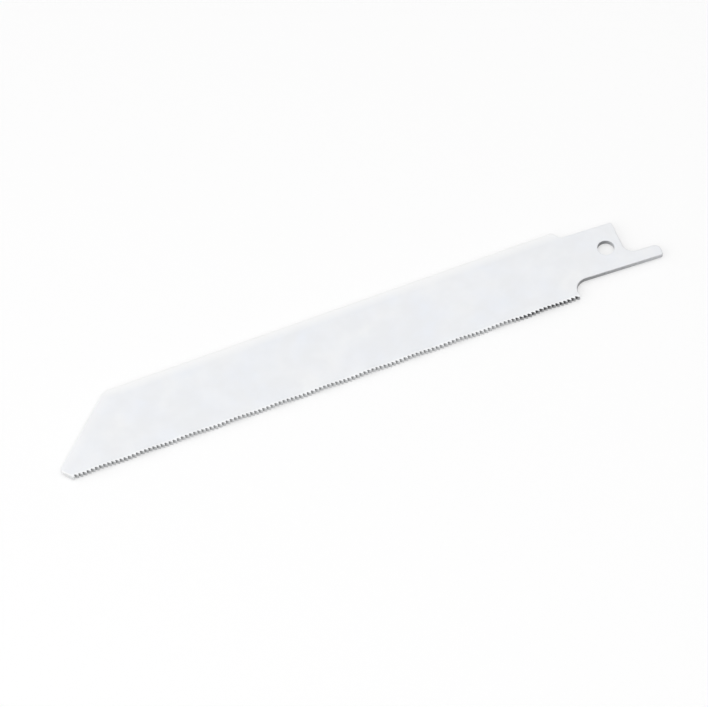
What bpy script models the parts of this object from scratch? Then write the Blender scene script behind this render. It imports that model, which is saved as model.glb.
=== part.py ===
"""A reciprocating saw blade: one flat steel plate with a slanted nose, fine wavy-set teeth and a shank.

The blade lies flat, +X towards the shank and +Y towards the back, and its teeth point towards -Y.
The origin is under the middle of the blade, at the height of the lowest tooth tip.
Until it is moved there, the blade is laid out with x from the nose, y from the tooth tips and z from its
lower side.
"""

import math

import bmesh
import bpy
from mathutils import Vector

MM = 0.001

# Blade
OVERALL_LENGTH = 150.0 * MM
BLADE_WIDTH = 19.0 * MM
THICKNESS = 1.25 * MM
EDGE_BREAK = 0.15 * MM

# Nose: a slant from the back down to a blunt point, and a short facet from there to the teeth
SLANT_ANGLE = math.radians(43.0)
SLANT_TOP_RADIUS = 3.0 * MM
NOSE_HEIGHT = 2.9 * MM
NOSE_RADIUS = 1.25 * MM
FACET_ANGLE = math.radians(53.0)
FACET_FOOT_RADIUS = 0.6 * MM
NOSE_LAND = 0.1 * MM

# Teeth: rake faces square to the edge and facing the shank, narrow lands, sloping backs, round gullets
TOOTH_PITCH = 1.0 * MM
TOOTH_DEPTH = 0.5 * MM
TIP_LAND = 0.15 * MM
GULLET_RADIUS = 0.17 * MM
HEEL_RADIUS = 0.2 * MM

# Wavy set: the toothed strip swings to one side and the other of the blade
SET_PER_SIDE = 0.25 * MM
TEETH_PER_WAVE = 11
TEETH_BEFORE_WAVE = 4.0
BENT_STRIP = 1.5 * MM
BEND_POWER = 1.5
STRAIGHT_END_TEETH = 2.0

# Shank, laid out from the hole along an axis that falls towards the teeth
SHANK_TILT = math.radians(2.5)
SHANK_WIDTH = 12.7 * MM
HOLE_DIAMETER = 4.0 * MM
HOLE_HEIGHT = 10.2 * MM
HOLE_TO_END = 11.6 * MM
HOLE_TO_SHOULDER = 3.85 * MM
HOLE_TO_NOTCH = 11.0 * MM
HOLE_TO_STEP = 8.6 * MM
NOTCH_RADIUS = 3.0 * MM
STEP_RADIUS = 1.2 * MM
STEP_ANGLE = math.radians(60.0)
BACK_CORNER_RADIUS = 0.5 * MM
SHOULDER_CORNER_RADIUS = 0.6 * MM
SHOULDER_FILLET = 2.7 * MM
TONGUE_WIDTH = 3.2 * MM
TONGUE_TOP_RADIUS = 1.4 * MM
TONGUE_FOOT_RADIUS = 0.6 * MM

# Smoothness of round stretches
ARC_STEP = math.radians(12.0)
MOST_ROUNDED = 0.9
GULLET_STEPS = 4
HOLE_SIDES = 48
SHARP_ANGLE = math.radians(30.0)

PAINT_COLOUR = (0.86, 0.87, 0.88, 1)
PAINT_ROUGHNESS = 0.45


def half_angle(before, corner, after):
    """Half the angle between the two edges that meet at this corner."""
    return (before - corner).angle(after - corner) / 2


def tangent_lengths(corners):
    """How far each corner's arc reaches along its edges, cut down where two arcs would share an edge."""
    places = [point for point, radius in corners]
    lengths = [0.0]
    for before, (corner, radius), after in zip(places, corners[1:], places[2:]):
        lengths.append(radius / math.tan(half_angle(before, corner, after)))
    lengths.append(0.0)
    shares = [1.0] * len(lengths)
    for index in range(len(places) - 1):
        edge = (places[index + 1] - places[index]).length
        wanted = lengths[index] + lengths[index + 1]
        if wanted > edge * MOST_ROUNDED:
            share = edge * MOST_ROUNDED / wanted
            shares[index] = min(shares[index], share)
            shares[index + 1] = min(shares[index + 1], share)
    return [length * share for length, share in zip(lengths, shares)]


def rounded_path(corners):
    """Points of an open path through (point, radius) corners, with an arc at each corner between its ends."""
    places = [point for point, radius in corners]
    reaches = tangent_lengths(corners)
    points = [places[0]]
    for before, corner, after, reach in zip(places, places[1:], places[2:], reaches[1:]):
        half = half_angle(before, corner, after)
        to_start = (before - corner).normalized()
        to_end = (after - corner).normalized()
        centre = corner + (to_start + to_end).normalized() * reach / math.cos(half)
        spoke = corner + to_start * reach - centre
        turn = math.pi - 2 * half
        if to_start.cross(to_end) > 0:
            turn = -turn
        steps = max(2, math.ceil(abs(turn) / ARC_STEP))
        for step in range(steps + 1):
            angle = turn * step / steps
            points.append(centre + Vector((
                spoke.x * math.cos(angle) - spoke.y * math.sin(angle),
                spoke.x * math.sin(angle) + spoke.y * math.cos(angle),
            )))
    points.append(places[-1])
    return points


def hole_centre():
    return Vector((OVERALL_LENGTH - HOLE_TO_END, HOLE_HEIGHT))


def on_shank(along, across):
    """The point this far from the hole along the shank's tilted axis, and this far across it."""
    return hole_centre() + Vector((
        along * math.cos(SHANK_TILT) + across * math.sin(SHANK_TILT),
        across * math.cos(SHANK_TILT) - along * math.sin(SHANK_TILT),
    ))


def shank_edge_at(x, across):
    """The point of the shank's edge line, parallel to its axis, that lies at this x."""
    start = on_shank(0, across)
    return Vector((x, start.y - (x - start.x) * math.tan(SHANK_TILT)))


def notch_x():
    """Where the cutting edge ends and the notch below the shank begins."""
    return hole_centre().x - HOLE_TO_NOTCH


def nose_point_x():
    """The x of the corner that the nose's arc rounds, where that arc touches x = 0."""
    lean = (SLANT_ANGLE - FACET_ANGLE) / 2
    half = (SLANT_ANGLE + FACET_ANGLE) / 2
    return NOSE_RADIUS * (1 - math.cos(lean) / math.sin(half))


def facet_foot_x():
    return nose_point_x() + NOSE_HEIGHT / math.tan(FACET_ANGLE)


def tip_x(tooth):
    first = facet_foot_x() + FACET_FOOT_RADIUS * math.tan(FACET_ANGLE / 2) + NOSE_LAND
    return first + tooth * TOOTH_PITCH


def gullet_x(tooth):
    """Where the gullet in front of this tooth's rake face is deepest."""
    return tip_x(tooth) + GULLET_RADIUS


def tooth_count():
    return int((notch_x() - HEEL_RADIUS - tip_x(0)) / TOOTH_PITCH)


def nose_corners():
    """The nose, from the first tooth tip round to the back edge."""
    point_x = nose_point_x()
    slant_top_x = point_x + (BLADE_WIDTH - NOSE_HEIGHT) / math.tan(SLANT_ANGLE)
    return [
        (Vector((tip_x(0), 0)), 0),
        (Vector((facet_foot_x(), 0)), FACET_FOOT_RADIUS),
        (Vector((point_x, NOSE_HEIGHT)), NOSE_RADIUS),
        (Vector((slant_top_x, BLADE_WIDTH)), SLANT_TOP_RADIUS),
    ]


def shank_corners():
    """The shank, from the step in the back edge round the tongue and the notch to the last tooth tip."""
    half = SHANK_WIDTH / 2
    tongue_top = TONGUE_WIDTH - half
    # The tongue's rounded upper corner is what reaches the overall length.
    end = TONGUE_TOP_RADIUS + (
        HOLE_TO_END - TONGUE_TOP_RADIUS - (tongue_top - TONGUE_TOP_RADIUS) * math.sin(SHANK_TILT)
    ) / math.cos(SHANK_TILT)
    step_foot = shank_edge_at(hole_centre().x - HOLE_TO_STEP, half)
    step_top = Vector((step_foot.x - (BLADE_WIDTH - step_foot.y) / math.tan(STEP_ANGLE), BLADE_WIDTH))
    return [
        (step_top, BACK_CORNER_RADIUS),
        (step_foot, STEP_RADIUS),
        (on_shank(HOLE_TO_SHOULDER, half), SHOULDER_CORNER_RADIUS),
        (on_shank(HOLE_TO_SHOULDER, tongue_top), SHOULDER_FILLET),
        (on_shank(end, tongue_top), TONGUE_TOP_RADIUS),
        (on_shank(end, -half), TONGUE_FOOT_RADIUS),
        (shank_edge_at(notch_x(), -half), NOTCH_RADIUS),
        (Vector((notch_x(), 0)), HEEL_RADIUS),
        (Vector((tip_x(tooth_count()), 0)), 0),
    ]


def tooth_edge():
    """Points of one tooth space: the rake face, the round gullet and the next tooth's back down to its land."""
    centre = Vector((GULLET_RADIUS, TOOTH_DEPTH - GULLET_RADIUS))
    land = Vector((TOOTH_PITCH - TIP_LAND, 0))
    to_land = land - centre
    # The next tooth's back is the tangent from its land to the gullet.
    away = math.atan2(to_land.y, to_land.x) + math.acos(GULLET_RADIUS / to_land.length)
    deepest = math.pi / 2
    angles = [math.pi - deepest * step / GULLET_STEPS for step in range(GULLET_STEPS)]
    angles += [deepest, (deepest + away) / 2, away]
    round_gullet = [centre + GULLET_RADIUS * Vector((math.cos(angle), math.sin(angle))) for angle in angles]
    return round_gullet + [land]


def set_offset(point):
    """How far the wavy set carries this point of the strip out of the blade's plane."""
    depth = TOOTH_DEPTH + BENT_STRIP - point.y
    first = gullet_x(0)
    last = gullet_x(tooth_count() - 1)
    if depth <= 0 or point.x <= first or point.x >= last:
        return 0.0
    bend = min(1.0, depth / (TOOTH_DEPTH + BENT_STRIP)) ** BEND_POWER
    straight = STRAIGHT_END_TEETH * TOOTH_PITCH
    ease = min(1.0, (point.x - first) / straight, (last - point.x) / straight)
    teeth_along = (point.x - first) / TOOTH_PITCH - TEETH_BEFORE_WAVE
    phase = 2 * math.pi * teeth_along / TEETH_PER_WAVE
    return SET_PER_SIDE * bend * ease * math.sin(phase)


def add_top_faces(mesh):
    """The blade's upper side: one plate above the bent strip, and two cells of the strip for each tooth."""
    strip_rows = [TOOTH_DEPTH + BENT_STRIP, TOOTH_DEPTH + BENT_STRIP / 2, TOOTH_DEPTH]
    columns = []
    for tooth in range(tooth_count()):
        columns.append([mesh.verts.new((gullet_x(tooth), row, THICKNESS)) for row in strip_rows])

    # A column of the strip stands on each gullet's deepest point, so that point isn't made twice.
    edge = tooth_edge()
    spaces = []
    for tooth in range(tooth_count()):
        tip = Vector((tip_x(tooth), 0))
        points = [tip + point for point in edge]
        before = [mesh.verts.new((*point, THICKNESS)) for point in points[:GULLET_STEPS]]
        after = [mesh.verts.new((*point, THICKNESS)) for point in points[GULLET_STEPS + 1:]]
        spaces.append((before, after))
    tips = [mesh.verts.new((tip_x(tooth), 0, THICKNESS)) for tooth in range(tooth_count() + 1)]

    for tooth in range(tooth_count() - 1):
        left, right = columns[tooth], columns[tooth + 1]
        mesh.faces.new([left[1], right[1], right[0], left[0]])
        tooth_verts = spaces[tooth][1] + [tips[tooth + 1]] + spaces[tooth + 1][0]
        mesh.faces.new([left[2]] + tooth_verts + [right[2], right[1], left[1]])

    outline = rounded_path(nose_corners() + shank_corners())
    round_the_back = [mesh.verts.new((*point, THICKNESS)) for point in outline[1:-1]]
    left, right = columns[0], columns[-1]
    lower_edge = [tips[0]] + spaces[0][0] + left[::-1]
    lower_edge += [column[0] for column in columns[1:-1]]
    lower_edge += right + spaces[-1][1] + [tips[-1]]
    mesh.faces.new(lower_edge + round_the_back[::-1])
    return [tips[0]] + round_the_back + [tips[-1]]


def break_edges(mesh, outline):
    """A narrow chamfer on both rims of the outline, apart from the teeth."""
    rims = []
    for start, end in zip(outline, outline[1:]):
        upper = mesh.edges.get((start, end))
        wall = min(upper.link_faces, key=lambda face: abs(face.normal.z))
        lower = next(edge for edge in wall.edges if start not in edge.verts and end not in edge.verts)
        rims += [upper, lower]
    bmesh.ops.bevel(mesh, geom=rims, offset=EDGE_BREAK, segments=1, affect="EDGES")


def blade_mesh():
    mesh = bmesh.new()
    outline = add_top_faces(mesh)
    upper = mesh.faces[:]
    grown = bmesh.ops.extrude_face_region(mesh, geom=upper, use_keep_orig=True)
    lower = [item for item in grown["geom"] if isinstance(item, bmesh.types.BMVert)]
    bmesh.ops.translate(mesh, verts=lower, vec=(0, 0, -THICKNESS))
    bmesh.ops.recalc_face_normals(mesh, faces=mesh.faces[:])
    break_edges(mesh, outline)
    bmesh.ops.triangulate(mesh, faces=mesh.faces[:], ngon_method="BEAUTY")
    for vert in mesh.verts:
        vert.co.z += set_offset(vert.co)
    lowest = min(vert.co.z for vert in mesh.verts)
    bmesh.ops.translate(mesh, verts=mesh.verts[:], vec=(-OVERALL_LENGTH / 2, -BLADE_WIDTH / 2, -lowest))
    return mesh, -lowest


def hole_cutter(base):
    """A bar through the hole that widens at both faces by the same chamfer as the outline's."""
    radius = HOLE_DIAMETER / 2
    beyond = THICKNESS
    profile = [
        (base - beyond, radius + EDGE_BREAK + beyond),
        (base + EDGE_BREAK, radius),
        (base + THICKNESS - EDGE_BREAK, radius),
        (base + THICKNESS + beyond, radius + EDGE_BREAK + beyond),
    ]
    mesh = bmesh.new()
    rings = []
    for height, ring_radius in profile:
        rings.append([
            mesh.verts.new((
                ring_radius * math.cos(2 * math.pi * side / HOLE_SIDES),
                ring_radius * math.sin(2 * math.pi * side / HOLE_SIDES),
                height,
            ))
            for side in range(HOLE_SIDES)
        ])
    for lower, upper in zip(rings, rings[1:]):
        for side in range(HOLE_SIDES):
            after = (side + 1) % HOLE_SIDES
            mesh.faces.new([lower[side], lower[after], upper[after], upper[side]])
    mesh.faces.new(rings[0][::-1])
    mesh.faces.new(rings[-1])
    return mesh


def object_from(mesh, name):
    data = bpy.data.meshes.new(name)
    mesh.to_mesh(data)
    mesh.free()
    obj = bpy.data.objects.new(name, data)
    bpy.context.scene.collection.objects.link(obj)
    return obj


def white_paint():
    material = bpy.data.materials.new("white_paint")
    material.use_nodes = True
    shader = material.node_tree.nodes["Principled BSDF"]
    shader.inputs["Base Color"].default_value = PAINT_COLOUR
    shader.inputs["Roughness"].default_value = PAINT_ROUGHNESS
    shader.inputs["Metallic"].default_value = 0.0
    return material


def make_blade():
    mesh, base = blade_mesh()
    blade = object_from(mesh, "blade")
    blade.data.shade_smooth()
    blade.data.set_sharp_from_angle(angle=SHARP_ANGLE)
    blade.data.materials.append(white_paint())

    cutter = object_from(hole_cutter(base), "hole_cutter")
    centre = hole_centre()
    cutter.location = (centre.x - OVERALL_LENGTH / 2, centre.y - BLADE_WIDTH / 2, 0)
    cutter.hide_render = True
    cutter.display_type = "WIRE"
    cut = blade.modifiers.new("hole", "BOOLEAN")
    cut.operation = "DIFFERENCE"
    cut.solver = "EXACT"
    cut.object = cutter


def main():
    for obj in list(bpy.data.objects):
        bpy.data.objects.remove(obj)
    make_blade()


main()
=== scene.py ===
"""Looks of a reciprocating saw blade: satin white paint over flat steel, on a plain pale floor."""
import math
import random

import bmesh
import bpy
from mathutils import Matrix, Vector


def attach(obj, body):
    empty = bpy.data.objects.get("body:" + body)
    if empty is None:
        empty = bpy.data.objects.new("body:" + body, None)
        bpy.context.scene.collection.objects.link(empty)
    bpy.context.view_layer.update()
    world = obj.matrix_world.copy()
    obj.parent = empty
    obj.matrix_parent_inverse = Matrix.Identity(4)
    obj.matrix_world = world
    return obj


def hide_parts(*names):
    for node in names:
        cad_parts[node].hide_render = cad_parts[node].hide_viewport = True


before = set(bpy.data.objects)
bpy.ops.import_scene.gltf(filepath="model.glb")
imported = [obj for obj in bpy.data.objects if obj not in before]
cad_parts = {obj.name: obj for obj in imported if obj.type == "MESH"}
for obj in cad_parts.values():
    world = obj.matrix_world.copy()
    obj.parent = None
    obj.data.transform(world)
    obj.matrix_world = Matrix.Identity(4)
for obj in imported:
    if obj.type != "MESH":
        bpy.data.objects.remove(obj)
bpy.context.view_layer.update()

MM = 0.001
QUARTER = math.pi / 2

# Blade, laid out with x from the nose, y from the tooth tips and z from its lower side
OVERALL_LENGTH = 150.0 * MM
BLADE_WIDTH = 19.0 * MM
THICKNESS = 1.25 * MM

# Nose: a slant from the back down to a blunt point, and a short facet from there to the teeth
SLANT_ANGLE = math.radians(43.0)
SLANT_TOP_RADIUS = 3.0 * MM
NOSE_HEIGHT = 2.9 * MM
NOSE_RADIUS = 1.25 * MM
FACET_ANGLE = math.radians(53.0)
FACET_FOOT_RADIUS = 0.6 * MM
NOSE_LAND = 0.1 * MM

# Teeth: rake faces square to the edge and facing the shank, narrow lands, sloping backs, round gullets
TOOTH_PITCH = 1.0 * MM
TOOTH_DEPTH = 0.5 * MM
TIP_LAND = 0.15 * MM
GULLET_RADIUS = 0.17 * MM
GULLET_PAINT = 0.03 * MM
HEEL_RADIUS = 0.2 * MM

# Painted shade: grey mixed into the gullets and the hole's wall and, less so, onto the walls of the
# teeth and below the shank, where these recesses and walls lie in shade
GULLET_START = 0.45
GULLET_SHADE = (0.74, 0.90)
HEEL_GULLET_START = -0.6
HEEL_GULLET_SHADE = 1.7
HEEL_STRETCH = 20 * MM
HEEL_RAMP = 6 * MM
LOWER_WALL_SHADE = 0.5
HOLE_WALL_SHADE = 0.5
HOLE_WALL_SHADE_SWING = 0.25
HOLE_DARKEST_AT = math.radians(135.0)
TONGUE_END_SHADE = 0.32
TOOTH_WALL_SHADE = 0.15
NOSE_WALL_SHADE = 0.34
NOSE_STRETCH = 27 * MM
NOSE_RAMP = 6 * MM

# Wavy set: the toothed strip swings to one side and the other of the blade
SET_PER_SIDE = 0.25 * MM
TEETH_PER_WAVE = 11
TEETH_BEFORE_WAVE = 4.0
BENT_STRIP = 1.5 * MM
BEND_POWER = 1.5
STRAIGHT_END_TEETH = 2.0
STRIP_ROOM = 0.15 * MM
STRIP_ROWS = 6

# Shank, laid out from the hole along an axis that falls towards the teeth
SHANK_TILT = math.radians(2.5)
SHANK_WIDTH = 12.7 * MM
HOLE_DIAMETER = 4.0 * MM
HOLE_HEIGHT = 10.2 * MM
HOLE_TO_END = 11.6 * MM
HOLE_TO_SHOULDER = 3.85 * MM
HOLE_TO_NOTCH = 11.0 * MM
HOLE_TO_STEP = 8.6 * MM
NOTCH_RADIUS = 3.0 * MM
STEP_RADIUS = 1.2 * MM
STEP_ANGLE = math.radians(60.0)
BACK_CORNER_RADIUS = 0.5 * MM
SHOULDER_CORNER_RADIUS = 0.6 * MM
SHOULDER_FILLET = 2.7 * MM
TONGUE_WIDTH = 3.2 * MM
TONGUE_TOP_RADIUS = 1.4 * MM
TONGUE_FOOT_RADIUS = 0.6 * MM

# Painted rims: broad along the body, fine on the teeth
BODY_RIM = 0.2 * MM
TOOTH_RIM = 0.06 * MM
HOLE_RIM = 0.08 * MM
HOLE_PAINT = 0.04 * MM
BODY_RIM_HEIGHT = 1.2 * MM
RIM_STEPS = 4
RIM_BORDER = 2.0

# Smoothness of round stretches
ARC_STEP = math.radians(5.0)
GULLET_STEPS = 10
BACK_STEPS = 2
HOLE_SIDES = 96
SHARP_ANGLE = math.radians(35.0)

# The seed of each run of random draws
SEED = 7

# The photograph's frame and the camera that fits it
PHOTO_WIDTH_PX = 708
SENSOR_MM = 36.0
VIEW_DISTANCE = 1.5
VIEW_AZIMUTH = math.radians(-23.197)
VIEW_ELEVATION = math.radians(55.916)
PX_PER_METRE = 4371.1
VIEW_TARGET = Vector((73.59 * MM, 6.76 * MM, 0.0))
# How many times nearer and farther than its target the camera sees
CLIP_RATIO = 10

# Paint colours
NEUTRAL_WHITE = (0.888, 0.896, 0.908, 1)
COOL_WHITE = (0.853, 0.874, 0.914, 1)
DULL_WHITE = (0.840, 0.851, 0.870, 1)
# Painted highlight: the whiter paint along the slant, the back and the nose's facet
EDGE_HIGHLIGHT_WHITE = (0.940, 0.943, 0.943, 1)
# Painted highlight: the whiter paint on the teeth and the band just above them
TOOTH_HIGHLIGHT_WHITE = (0.925, 0.938, 0.950, 1)
# Painted shade: the dark grey that the walls below the shank, of the teeth and near the nose are mixed
# towards
WALL_SHADE_GREY = (0.19, 0.194, 0.198, 1)
# Painted shade: the dark grey that the gullets and the hole's wall are mixed towards
GULLET_SHADE_GREY = (0.09, 0.09, 0.095, 1)

# How the paint's colour varies: faint random patches, and a painted highlight along the slant, the back
# and the teeth
PATCH_SIZE = 11 * MM
CLOUD_SIZE = 4.5 * MM
CLOUD_SHARE = 0.7
NOISE_SPAN = (0.35, 0.65)
EDGE_FADE = 2.6 * MM
SLANT_SHARE = 0.5
# Noise that breaks up the painted shade on the walls
SHADE_BREAKUP_SIZE = 0.6 * MM
SHADE_BREAKUP_SPAN = (0.35, 0.7)
SHADE_BREAKUP_LEAST = 0.7

# The paint's surface
PEEL_SIZE = 1.1 * MM
GRAIN_SIZE = 0.16 * MM
GRAIN_SPAN = (0.3, 0.7)
GRAIN_IN_RELIEF = 0.12
PAINT_ROUGHNESS = (0.34, 0.46)
PAINT_SURFACE = {
    "Metallic": 0.0,
    "IOR": 1.5,
    "Specular IOR Level": 0.2,
    "Coat Weight": 0.04,
    "Coat Roughness": 0.2,
}

# Floor and fill light
FLOOR_SIDE = 8.0
FLOOR_COLOUR = (0.6, 0.6, 0.6, 1)
SEEN_FLOOR_COLOUR = (1.0, 1.0, 1.0, 1)
FLOOR_GLOW = 0.45
FILL_STRENGTH = 0.22

# Sockets of the Mix node that serve colours
MIX_SHARE = 0
MIX_FIRST = 6
MIX_SECOND = 7
MIX_RESULT = 2


def rounded_path(corners):
    """Points of an open path through (point, radius) corners, with an arc at each rounded corner."""
    places = [point for point, radius in corners]
    points = [places[0]]
    for before, (corner, radius), after in zip(places, corners[1:], places[2:]):
        if radius == 0:
            points.append(corner)
            continue
        to_start = (before - corner).normalized()
        to_end = (after - corner).normalized()
        half = to_start.angle(to_end) / 2
        centre = corner + (to_start + to_end).normalized() * radius / math.sin(half)
        spoke = corner + to_start * radius / math.tan(half) - centre
        turn = math.pi - 2 * half
        if to_start.cross(to_end) > 0:
            turn = -turn
        steps = math.ceil(abs(turn) / ARC_STEP)
        for step in range(steps + 1):
            angle = turn * step / steps
            points.append(centre + Vector((
                spoke.x * math.cos(angle) - spoke.y * math.sin(angle),
                spoke.x * math.sin(angle) + spoke.y * math.cos(angle),
            )))
    points.append(places[-1])
    return points


def hole_centre():
    return Vector((OVERALL_LENGTH - HOLE_TO_END, HOLE_HEIGHT))


def on_shank(along, across):
    """The point this far from the hole along the shank's tilted axis, and this far across it."""
    return hole_centre() + Vector((
        along * math.cos(SHANK_TILT) + across * math.sin(SHANK_TILT),
        across * math.cos(SHANK_TILT) - along * math.sin(SHANK_TILT),
    ))


def shank_edge_at(x, across):
    """The point of the shank's edge line, parallel to its axis, that lies at this x."""
    start = on_shank(0, across)
    return Vector((x, start.y - (x - start.x) * math.tan(SHANK_TILT)))


def notch_x():
    """Where the cutting edge ends and the notch below the shank begins."""
    return hole_centre().x - HOLE_TO_NOTCH


def nose_point_x():
    """The x of the corner that the nose's arc rounds, where that arc touches x = 0."""
    lean = (SLANT_ANGLE - FACET_ANGLE) / 2
    half = (SLANT_ANGLE + FACET_ANGLE) / 2
    return NOSE_RADIUS * (1 - math.cos(lean) / math.sin(half))


def facet_foot_x():
    return nose_point_x() + NOSE_HEIGHT / math.tan(FACET_ANGLE)


def tip_x(tooth):
    first = facet_foot_x() + FACET_FOOT_RADIUS * math.tan(FACET_ANGLE / 2) + NOSE_LAND
    return first + tooth * TOOTH_PITCH


def gullet_x(tooth):
    """Where the gullet in front of this tooth's rake face is deepest."""
    return tip_x(tooth) + GULLET_RADIUS


def tooth_count():
    return int((notch_x() - HEEL_RADIUS - tip_x(0)) / TOOTH_PITCH)


def body_corners():
    """The outline from the last tooth tip round the shank, the back and the nose to the first tip."""
    half = SHANK_WIDTH / 2
    tongue_top = TONGUE_WIDTH - half
    # The tongue's rounded upper corner is what reaches the overall length.
    end = TONGUE_TOP_RADIUS + (
        HOLE_TO_END - TONGUE_TOP_RADIUS - (tongue_top - TONGUE_TOP_RADIUS) * math.sin(SHANK_TILT)
    ) / math.cos(SHANK_TILT)
    step_foot = shank_edge_at(hole_centre().x - HOLE_TO_STEP, half)
    step_top = Vector((step_foot.x - (BLADE_WIDTH - step_foot.y) / math.tan(STEP_ANGLE), BLADE_WIDTH))
    slant_top_x = nose_point_x() + (BLADE_WIDTH - NOSE_HEIGHT) / math.tan(SLANT_ANGLE)
    return [
        (Vector((tip_x(tooth_count()), 0)), 0),
        (Vector((notch_x(), 0)), HEEL_RADIUS),
        (shank_edge_at(notch_x(), -half), NOTCH_RADIUS),
        (on_shank(0, -half), 0),
        (on_shank(end, -half), TONGUE_FOOT_RADIUS),
        (on_shank(end, tongue_top), TONGUE_TOP_RADIUS),
        (on_shank(HOLE_TO_SHOULDER, tongue_top), SHOULDER_FILLET),
        (on_shank(HOLE_TO_SHOULDER, half), SHOULDER_CORNER_RADIUS),
        (on_shank(0, half), 0),
        (step_foot, STEP_RADIUS),
        (step_top, BACK_CORNER_RADIUS),
        (Vector((slant_top_x, BLADE_WIDTH)), SLANT_TOP_RADIUS),
        (Vector((nose_point_x(), NOSE_HEIGHT)), NOSE_RADIUS),
        (Vector((facet_foot_x(), 0)), FACET_FOOT_RADIUS),
        (Vector((tip_x(0), 0)), 0),
    ]


def tooth_space(paint):
    """Points of one tooth space after its tip: rake face, painted gullet and the next tooth's back."""
    centre = Vector((GULLET_RADIUS, TOOTH_DEPTH - paint - GULLET_RADIUS))
    land = Vector((TOOTH_PITCH - TIP_LAND, 0))
    to_land = land - centre
    # The next tooth's back is the tangent from its land to the gullet.
    away = math.atan2(to_land.y, to_land.x) + math.acos(GULLET_RADIUS / to_land.length)
    angles = [math.pi - QUARTER * step / GULLET_STEPS for step in range(GULLET_STEPS + 1)]
    angles += [QUARTER + (away - QUARTER) * step / BACK_STEPS for step in range(1, BACK_STEPS + 1)]
    spokes = [Vector((math.cos(angle), math.sin(angle))) for angle in angles]
    return [centre + GULLET_RADIUS * spoke for spoke in spokes] + [land]


def toothed_edge():
    """The cutting edge from the first tooth tip, without the last tip."""
    chance = random.Random(SEED)
    points = []
    for tooth in range(tooth_count()):
        tip = Vector((tip_x(tooth), 0))
        points.append(tip)
        points += [tip + point for point in tooth_space(chance.uniform(0, GULLET_PAINT))]
    return points


def set_offset(point):
    """How far the wavy set carries this point of the strip out of the blade's plane."""
    depth = TOOTH_DEPTH + BENT_STRIP - point.y
    first = gullet_x(0)
    last = gullet_x(tooth_count() - 1)
    if depth <= 0 or point.x <= first or point.x >= last:
        return 0.0
    bend = min(1.0, depth / (TOOTH_DEPTH + BENT_STRIP)) ** BEND_POWER
    straight = STRAIGHT_END_TEETH * TOOTH_PITCH
    ease = min(1.0, (point.x - first) / straight, (last - point.x) / straight)
    teeth_along = (point.x - first) / TOOTH_PITCH - TEETH_BEFORE_WAVE
    phase = 2 * math.pi * teeth_along / TEETH_PER_WAVE
    return SET_PER_SIDE * bend * ease * math.sin(phase)


def inward_steps(outline):
    """For each point of a closed anticlockwise outline, the step that takes both its edges in by one."""
    steps = []
    for before, point, after in zip(outline[-1:] + outline, outline, outline[1:] + outline[:1]):
        arriving = (point - before).normalized()
        leaving = (after - point).normalized()
        first = Vector((-arriving.y, arriving.x))
        second = Vector((-leaving.y, leaving.x))
        steps.append((first + second) / (1 + first.dot(second)))
    return steps


def rim_levels():
    """The rim's rounded section in radii: (inset, height, side) from the lower side to the upper."""
    section = [(RIM_BORDER, 0.0)]
    for step in range(RIM_STEPS + 1):
        angle = QUARTER * step / RIM_STEPS
        section.append((1 - math.sin(angle), 1 - math.cos(angle)))
    lower = [(inset, height, 0) for inset, height in section]
    upper = [(inset, height, 1) for inset, height in reversed(section)]
    return lower + upper


def level_height(height, side, radius):
    """The z of a rim level that lies this many radii in from its side of the blade."""
    if side:
        return THICKNESS - height * radius
    return height * radius


def rim_radius(point):
    """The rim is fine on the teeth and grows to the body's over the first stretch away from them."""
    share = (point.y - TOOTH_DEPTH) / (BODY_RIM_HEIGHT - TOOTH_DEPTH)
    return TOOTH_RIM + (BODY_RIM - TOOTH_RIM) * max(0.0, min(1.0, share))


def near_heel(x):
    """One on the last stretch of teeth, where the painted shade in the gullets is darkest, falling to
    zero before it.
    """
    return max(0.0, min(1.0, (x - notch_x() + HEEL_STRETCH) / HEEL_RAMP))


def gullet_share(point):
    """How deep in a gullet this point of the outline lies, up to one at its bottom."""
    if point.y > TOOTH_DEPTH or point.x > notch_x() - HEEL_RADIUS:
        return 0.0
    # Towards the heel the painted shade starts higher up the teeth.
    start = GULLET_START + (HEEL_GULLET_START - GULLET_START) * near_heel(point.x)
    return max(0.0, (point.y / TOOTH_DEPTH - start) / (1 - start))


def gullet_shades():
    """How dark the painted shade in each gullet is: a little different from tooth to tooth, and darker
    towards the heel.
    """
    chance = random.Random(SEED)
    shares = []
    for tooth in range(tooth_count() + 1):
        share = chance.uniform(*GULLET_SHADE)
        shares.append(share + (HEEL_GULLET_SHADE - share) * near_heel(tip_x(tooth)))
    return shares


def near_nose(x):
    """One on the first stretch of teeth, falling to zero at its end."""
    return max(0.0, min(1.0, (NOSE_STRETCH - x) / NOSE_RAMP))


def wall_shade_share(point):
    """How much painted shade darkens the walls here: a little on the teeth, more near the nose, and
    below the shank, less towards its end.
    """
    if point.y <= TOOTH_DEPTH and tip_x(0) <= point.x < notch_x() - HEEL_RADIUS:
        darkening = TOOTH_WALL_SHADE * (1 - near_heel(point.x))
        return darkening + (NOSE_WALL_SHADE - TOOTH_WALL_SHADE) * near_nose(point.x)
    along = (point.x - notch_x()) / (OVERALL_LENGTH - notch_x())
    if along < 0 or point.y > HOLE_HEIGHT:
        return 0.0
    return 1 - (1 - TONGUE_END_SHADE) * along


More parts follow.
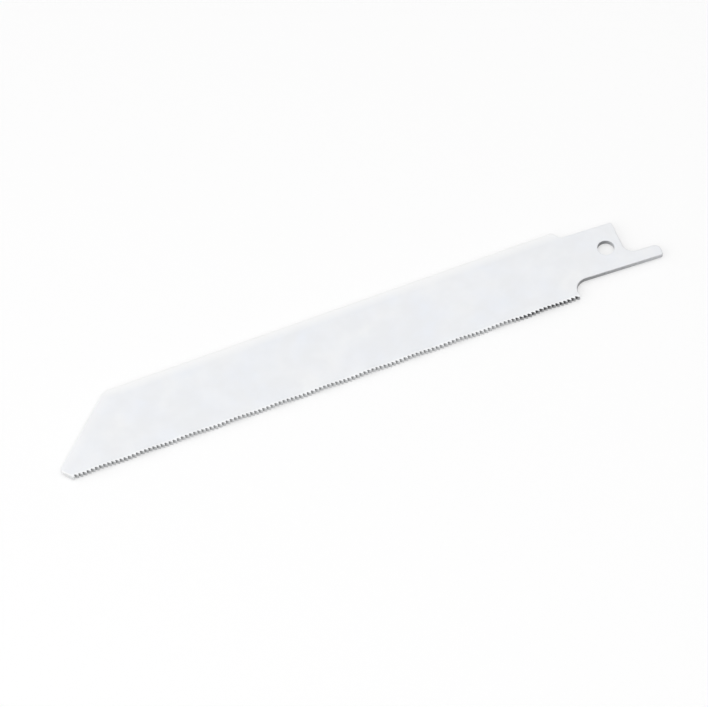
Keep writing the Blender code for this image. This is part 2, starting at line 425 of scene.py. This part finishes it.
class BladeMesh:
    """The blade as rings of vertices round its outline and its hole, with both sides closed."""

    def __init__(self):
        self.mesh = bmesh.new()
        # Per-vertex shares of painted shade: on the walls, and in the gullets and on the hole's wall
        self.wall_shade = self.mesh.verts.layers.float.new("painted_wall_shade")
        self.gullet = self.mesh.verts.layers.float.new("gullet")
        teeth = toothed_edge()
        self.space_points = len(teeth) // tooth_count()
        body = rounded_path(body_corners())
        self.outline = teeth + body[:-1]
        self.below_hole = self.nearest(on_shank(0, -SHANK_WIDTH / 2))
        self.above_hole = self.nearest(on_shank(0, SHANK_WIDTH / 2))

    def nearest(self, place):
        """The number of the outline's point that lies nearest to this place."""
        return min(range(len(self.outline)), key=lambda index: (self.outline[index] - place).length)

    def vertex(self, point, height, wall_shade=0.0, gullet=0.0):
        vert = self.mesh.verts.new((point.x, point.y, height + set_offset(point)))
        vert[self.wall_shade] = wall_shade
        vert[self.gullet] = gullet
        return vert

    def wall_rings(self):
        """One ring of vertices for each rim level round the outline."""
        inward = inward_steps(self.outline)
        gullets = gullet_shades()
        rings = []
        for inset, height, side in rim_levels():
            on_wall = max(0.0, 1 - inset)
            # The painted shade in the gullets is lighter on the lower side of their walls.
            gullet_wall = 1.0 if side else LOWER_WALL_SHADE
            ring = []
            for point, step in zip(self.outline, inward):
                radius = rim_radius(point)
                in_gullet = gullet_share(point)
                if in_gullet:
                    in_gullet *= gullets[int((point.x - tip_x(0)) / TOOTH_PITCH)]
                in_gullet *= gullet_wall
                # Each wall vertex carries its shares of painted shade, on the walls and in the gullets
                ring.append(self.vertex(
                    point + step * radius * inset,
                    level_height(height, side, radius),
                    wall_shade=on_wall * wall_shade_share(point),
                    gullet=on_wall * in_gullet,
                ))
            rings.append(ring)
        return rings

    def hole_rings(self):
        """One ring of vertices for each rim level round the hole."""
        rings = []
        for inset, height, side in rim_levels():
            on_wall = max(0.0, 1 - inset)
            radius = HOLE_DIAMETER / 2 - HOLE_PAINT + HOLE_RIM * inset
            ring = []
            for index in range(HOLE_SIDES):
                angle = 2 * math.pi * index / HOLE_SIDES
                # Painted shade on the hole's wall, darkest on one side.
                share = HOLE_WALL_SHADE + HOLE_WALL_SHADE_SWING * math.cos(angle - HOLE_DARKEST_AT)
                ring.append(self.vertex(
                    hole_centre() + radius * Vector((math.cos(angle), math.sin(angle))),
                    level_height(height, side, HOLE_RIM),
                    gullet=on_wall * share,
                ))
            rings.append(ring)
        return rings

    def join_rings(self, rings, inwards=False):
        for lower, upper in zip(rings, rings[1:]):
            for index, start in enumerate(lower):
                after = (index + 1) % len(lower)
                face = [start, lower[after], upper[after], upper[index]]
                self.mesh.faces.new(face[::-1] if inwards else face)

    def strip_columns(self, height):
        """Rows of vertices over each gullet and tooth, from above the gullets to the strip's root."""
        lowest = TOOTH_DEPTH + STRIP_ROOM
        rise = BENT_STRIP - STRIP_ROOM
        columns = []
        for half_tooth in range(2 * tooth_count() - 1):
            x = gullet_x(0) + half_tooth * TOOTH_PITCH / 2
            columns.append([
                self.vertex(Vector((x, lowest + rise * row / (STRIP_ROWS - 1))), height)
                for row in range(STRIP_ROWS)
            ])
        return columns

    def close_side(self, ring, hole, height, upper):
        """The faces of one side of the blade: the teeth, the bent strip and the plate round the hole."""
        columns = self.strip_columns(height)
        faces = []
        deepest = 1 + GULLET_STEPS
        for tooth in range(tooth_count() - 1):
            start = tooth * self.space_points + deepest
            over = [columns[2 * tooth + step][0] for step in (2, 1, 0)]
            faces.append(ring[start:start + self.space_points + 1] + over)
        for left, right in zip(columns, columns[1:]):
            for row in range(STRIP_ROWS - 1):
                faces.append([left[row], right[row], right[row + 1], left[row + 1]])
        last_deepest = (tooth_count() - 1) * self.space_points + deepest
        # The hole's points start towards the shoulder: its top is one quarter round, its foot three.
        quarter = HOLE_SIDES // 4
        left_of_hole = [hole[index] for index in range(3 * quarter, quarter - 1, -1)]
        from_top = range(HOLE_SIDES + quarter, 3 * quarter - 1, -1)
        right_of_hole = [hole[index % HOLE_SIDES] for index in from_top]
        faces.append(
            ring[self.above_hole:] + ring[:deepest + 1] + columns[0][:-1]
            + [column[-1] for column in columns] + columns[-1][-2::-1]
            + ring[last_deepest:self.below_hole + 1] + left_of_hole
        )
        faces.append(ring[self.below_hole:self.above_hole + 1] + right_of_hole)
        for face in faces:
            self.mesh.faces.new(face if upper else face[::-1])

    def build(self):
        rings = self.wall_rings()
        holes = self.hole_rings()
        self.join_rings(rings)
        self.join_rings(holes, inwards=True)
        self.close_side(rings[-1], holes[-1], THICKNESS, upper=True)
        self.close_side(rings[0], holes[0], 0.0, upper=False)
        self.mesh.normal_update()
        many_sided = [face for face in self.mesh.faces if len(face.verts) > 4]
        bmesh.ops.triangulate(self.mesh, faces=many_sided, ngon_method="BEAUTY")
        return self.mesh


def tip_drop():
    """How far the lowest tooth tip hangs below the blade's lower side."""
    return -min(set_offset(Vector((tip_x(tooth), 0))) for tooth in range(tooth_count() + 1))


def to_frame(point, height=0.0):
    """A point of the blade's own layout, in the frame that the model is packed in."""
    return Vector((point.x - OVERALL_LENGTH / 2, point.y - BLADE_WIDTH / 2, height + tip_drop()))


def make_blade():
    mesh = BladeMesh().build()
    bmesh.ops.translate(mesh, verts=mesh.verts[:], vec=to_frame(Vector((0, 0))))
    data = bpy.data.meshes.new("painted_blade")
    mesh.to_mesh(data)
    mesh.free()
    data.shade_smooth()
    data.set_sharp_from_angle(angle=SHARP_ANGLE)
    data.materials.append(white_paint())
    blade = bpy.data.objects.new("painted_blade", data)
    bpy.context.scene.collection.objects.link(blade)
    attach(blade, "root")
    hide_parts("blade")


def set_inputs(tree, node, inputs):
    """Sets a node's inputs, by name or number, to values or links them to other nodes' outputs."""
    for name, value in inputs.items():
        if isinstance(value, bpy.types.NodeSocket):
            tree.links.new(value, node.inputs[name])
        else:
            node.inputs[name].default_value = value


def add_node(tree, kind, inputs=None, **settings):
    node = tree.nodes.new(kind)
    for name, value in settings.items():
        setattr(node, name, value)
    set_inputs(tree, node, inputs or {})
    return node


def math_node(tree, operation, first, second):
    """The result of one sum, product or comparison of two values or outputs."""
    return add_node(tree, "ShaderNodeMath", {0: first, 1: second}, operation=operation).outputs[0]


def noise(tree, place, feature, detail=2.0, roughness=0.5):
    """Noise whose lumps are about this many metres across."""
    return add_node(tree, "ShaderNodeTexNoise", {
        "Vector": place,
        "Scale": 1 / feature,
        "Detail": detail,
        "Roughness": roughness,
    }).outputs["Fac"]


def remap(tree, value, low, high, to_low, to_high):
    """The value carried from one range to another and held at its ends."""
    return add_node(tree, "ShaderNodeMapRange", {
        "Value": value,
        "From Min": low,
        "From Max": high,
        "To Min": to_low,
        "To Max": to_high,
    }).outputs["Result"]


def mix_colour(tree, share, first, second):
    """The first colour, with this share of the second in it."""
    node = add_node(tree, "ShaderNodeMix", data_type="RGBA")
    set_inputs(tree, node, {MIX_SHARE: share, MIX_FIRST: first, MIX_SECOND: second})
    return node.outputs[MIX_RESULT]


def edge_ramp(tree, place, start, inwards, near, far):
    """One up to the near distance inwards from a line on the blade, falling to zero at the far one."""
    line = to_frame(start)
    split = add_node(tree, "ShaderNodeSeparateXYZ", {"Vector": place}).outputs
    across = math_node(tree, "MULTIPLY", split["X"], inwards.x)
    across = math_node(tree, "ADD", across, math_node(tree, "MULTIPLY", split["Y"], inwards.y))
    offset = line.x * inwards.x + line.y * inwards.y
    return remap(tree, across, offset + near, offset + far, 1.0, 0.0)


def by_edges(tree, place):
    """How near a point is to the slant, the nose's facet or the back, where a painted highlight makes
    the paint whiter.
    """
    slant = Vector((math.sin(SLANT_ANGLE), -math.cos(SLANT_ANGLE)))
    by_slant = edge_ramp(tree, place, Vector((nose_point_x(), NOSE_HEIGHT)), slant, 0.0, EDGE_FADE)
    by_back = edge_ramp(tree, place, Vector((0, BLADE_WIDTH)), Vector((0, -1)), 0.0, EDGE_FADE)
    facet = Vector((math.sin(FACET_ANGLE), math.cos(FACET_ANGLE)))
    by_facet = edge_ramp(tree, place, Vector((facet_foot_x(), 0)), facet, BODY_RIM, 2 * BODY_RIM)
    by_slant = math_node(tree, "MULTIPLY", by_slant, SLANT_SHARE)
    by_front = math_node(tree, "MAXIMUM", by_slant, by_facet)
    return math_node(tree, "MAXIMUM", by_front, by_back)


def paint_colour(tree, place):
    """White with faint cool patches, a painted highlight along the slant, the back, the nose's facet and
    the teeth, and greyer with painted shade on the rims, teeth, gullets and the hole's wall.
    """
    patches = remap(tree, noise(tree, place, PATCH_SIZE, detail=3.0), *NOISE_SPAN, 0.0, 1.0)
    colour = mix_colour(tree, patches, NEUTRAL_WHITE, COOL_WHITE)
    clouds = remap(tree, noise(tree, place, CLOUD_SIZE), *NOISE_SPAN, 0.0, CLOUD_SHARE)
    colour = mix_colour(tree, clouds, colour, DULL_WHITE)
    # Painted highlight along the slant, the back and the nose's facet
    colour = mix_colour(tree, by_edges(tree, place), colour, EDGE_HIGHLIGHT_WHITE)
    # Painted highlight on the teeth and just above them
    by_teeth = edge_ramp(tree, place, Vector((0, 0)), Vector((0, 1)), TOOTH_DEPTH, 2 * TOOTH_DEPTH)
    colour = mix_colour(tree, by_teeth, colour, TOOTH_HIGHLIGHT_WHITE)
    # Painted shade on the walls, broken up by noise
    wall_shade = add_node(tree, "ShaderNodeAttribute", attribute_name="painted_wall_shade").outputs["Fac"]
    broken = remap(tree, noise(tree, place, SHADE_BREAKUP_SIZE, detail=3.0), *SHADE_BREAKUP_SPAN, SHADE_BREAKUP_LEAST, 1.0)
    colour = mix_colour(tree, math_node(tree, "MULTIPLY", wall_shade, broken), colour, WALL_SHADE_GREY)
    # Painted shade in the gullets and on the hole's wall
    gullet = add_node(tree, "ShaderNodeAttribute", attribute_name="gullet").outputs["Fac"]
    return mix_colour(tree, gullet, colour, GULLET_SHADE_GREY)


def white_paint():
    """Satin white paint with a fine orange peel."""
    material = bpy.data.materials.new("white_paint")
    material.use_nodes = True
    tree = material.node_tree
    place = add_node(tree, "ShaderNodeTexCoord").outputs["Object"]
    peel = noise(tree, place, PEEL_SIZE)
    grain = noise(tree, place, GRAIN_SIZE, detail=3.0, roughness=0.6)
    relief = math_node(tree, "ADD", peel, math_node(tree, "MULTIPLY", grain, GRAIN_IN_RELIEF))
    bump = add_node(tree, "ShaderNodeBump", {"Strength": 0.35, "Distance": 0.02 * MM, "Height": relief})
    set_inputs(tree, tree.nodes["Principled BSDF"], {
        "Base Color": paint_colour(tree, place),
        "Roughness": remap(tree, grain, *GRAIN_SPAN, *PAINT_ROUGHNESS),
        "Normal": bump.outputs["Normal"],
        **PAINT_SURFACE,
    })
    return material


def seen_straight(tree):
    """One for rays that show the floor or world itself, also in gloss or through glass, else zero."""
    path = add_node(tree, "ShaderNodeLightPath").outputs
    either = math_node(tree, "MAXIMUM", path["Is Camera Ray"], path["Is Glossy Ray"])
    return math_node(tree, "MAXIMUM", either, path["Is Transmission Ray"])


def pale_floor_material():
    """White to look at, with the object's shadow kept, and mid grey to the light that bounces off."""
    material = bpy.data.materials.new("pale_floor")
    material.use_nodes = True
    tree = material.node_tree
    tree.nodes.clear()
    seen = seen_straight(tree)
    colour = mix_colour(tree, seen, FLOOR_COLOUR, SEEN_FLOOR_COLOUR)
    lit = add_node(tree, "ShaderNodeBsdfDiffuse", {"Color": colour}).outputs[0]
    glow = add_node(tree, "ShaderNodeEmission", {"Color": SEEN_FLOOR_COLOUR, "Strength": 1.0}).outputs[0]
    share = math_node(tree, "MULTIPLY", seen, FLOOR_GLOW)
    mixed = add_node(tree, "ShaderNodeMixShader", {0: share, 1: lit, 2: glow}).outputs[0]
    add_node(tree, "ShaderNodeOutputMaterial", {"Surface": mixed})
    return material


def make_floor():
    mesh = bmesh.new()
    half = FLOOR_SIDE / 2
    corners = ((-half, -half), (half, -half), (half, half), (-half, half))
    mesh.faces.new([mesh.verts.new((x, y, 0)) for x, y in corners])
    data = bpy.data.meshes.new("floor")
    mesh.to_mesh(data)
    mesh.free()
    data.materials.append(pale_floor_material())
    floor = bpy.data.objects.new("floor", data)
    bpy.context.scene.collection.objects.link(floor)


def make_world():
    """White to look at, and a weak even fill to the object."""
    world = bpy.data.worlds.new("studio")
    world.use_nodes = True
    tree = world.node_tree
    tree.nodes.clear()
    strength = remap(tree, seen_straight(tree), 0.0, 1.0, FILL_STRENGTH, 1.0)
    background = add_node(tree, "ShaderNodeBackground", {"Color": (1, 1, 1, 1), "Strength": strength})
    add_node(tree, "ShaderNodeOutputWorld", {"Surface": background.outputs[0]})
    bpy.context.scene.world = world


def add_softbox(name, place, width, depth, radiance):
    """A rectangular lamp that faces the middle of the blade."""
    lamp = bpy.data.lights.new(name, "AREA")
    lamp.shape = "RECTANGLE"
    lamp.size = width
    lamp.size_y = depth
    # An area lamp's watts spread over its face and over pi steradians of facing directions.
    lamp.energy = radiance * width * depth * math.pi
    box = bpy.data.objects.new(name, lamp)
    box.location = place
    box.rotation_mode = "QUATERNION"
    box.rotation_quaternion = (-Vector(place)).to_track_quat("-Z", "Y")
    bpy.context.scene.collection.objects.link(box)


def make_lights():
    add_softbox("overhead", (0.0, 0.0, 0.8), width=1.1, depth=0.9, radiance=1.05)
    add_softbox("front", (0.0, -0.5, 0.7), width=1.0, depth=0.5, radiance=1.01)
    add_softbox("back", (0.0, 0.65, 0.6), width=1.2, depth=0.5, radiance=0.3)
    add_softbox("left", (-0.9, 0.0, 0.45), width=1.8, depth=0.84, radiance=1.27)
    add_softbox("right", (0.9, 0.0, 0.45), width=1.8, depth=0.84, radiance=0.52)


def make_camera():
    camera = bpy.data.cameras.new("camera")
    camera.sensor_width = SENSOR_MM
    camera.lens = SENSOR_MM * PX_PER_METRE * VIEW_DISTANCE / PHOTO_WIDTH_PX
    camera.clip_start = VIEW_DISTANCE / CLIP_RATIO
    camera.clip_end = VIEW_DISTANCE * CLIP_RATIO
    back = Vector((
        math.sin(VIEW_AZIMUTH) * math.cos(VIEW_ELEVATION),
        -math.cos(VIEW_AZIMUTH) * math.cos(VIEW_ELEVATION),
        math.sin(VIEW_ELEVATION),
    ))
    viewer = bpy.data.objects.new("camera", camera)
    viewer.location = to_frame(VIEW_TARGET) + back * VIEW_DISTANCE
    viewer.rotation_mode = "QUATERNION"
    viewer.rotation_quaternion = (-back).to_track_quat("-Z", "Y")
    bpy.context.scene.collection.objects.link(viewer)
    bpy.context.scene.camera = viewer


bpy.context.scene.view_settings.view_transform = "Standard"
make_camera()
make_world()
make_lights()
make_floor()
make_blade()
